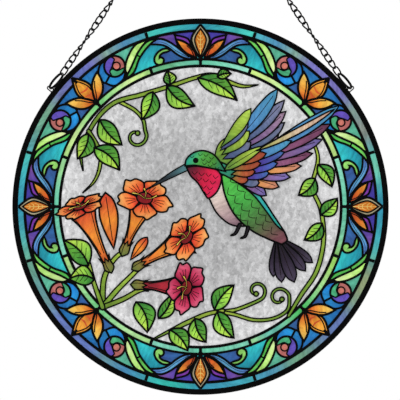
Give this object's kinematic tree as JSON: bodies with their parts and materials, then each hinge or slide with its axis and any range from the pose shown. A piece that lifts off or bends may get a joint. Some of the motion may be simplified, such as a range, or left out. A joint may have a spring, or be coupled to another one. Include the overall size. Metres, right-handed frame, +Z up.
{
  "type": "stained glass suncatcher",
  "caption": "Round hanging panel of clear textured glass with raised black lines and see-through colours, in a thin black rim, held by two split rings and a link chain.",
  "frame": {"origin": "point of the chain's middle link that rests on the hook", "axes": "+Z up, +X to the right seen from the front, -Y towards the viewer, the picture's side"},
  "size_m": [0.3, 0.0162, 0.4163],
  "materials": {
    "clear_glass": "clear, lightly textured, with see-through colours on the front",
    "black_metal": "satin black",
    "black_line": "raised satin black lines",
    "dark_wire": "dark plated, slightly glossy"
  },
  "bodies": {
    "root": {"glass_disc": "clear_glass", "rim_frame": "black_metal", "leading": "black_line", "hanging_eye_left": "dark_wire", "hanging_eye_right": "dark_wire", "split_ring_left": "dark_wire", "split_ring_right": "dark_wire", "chain": "dark_wire"}
  },
  "joints": []
}
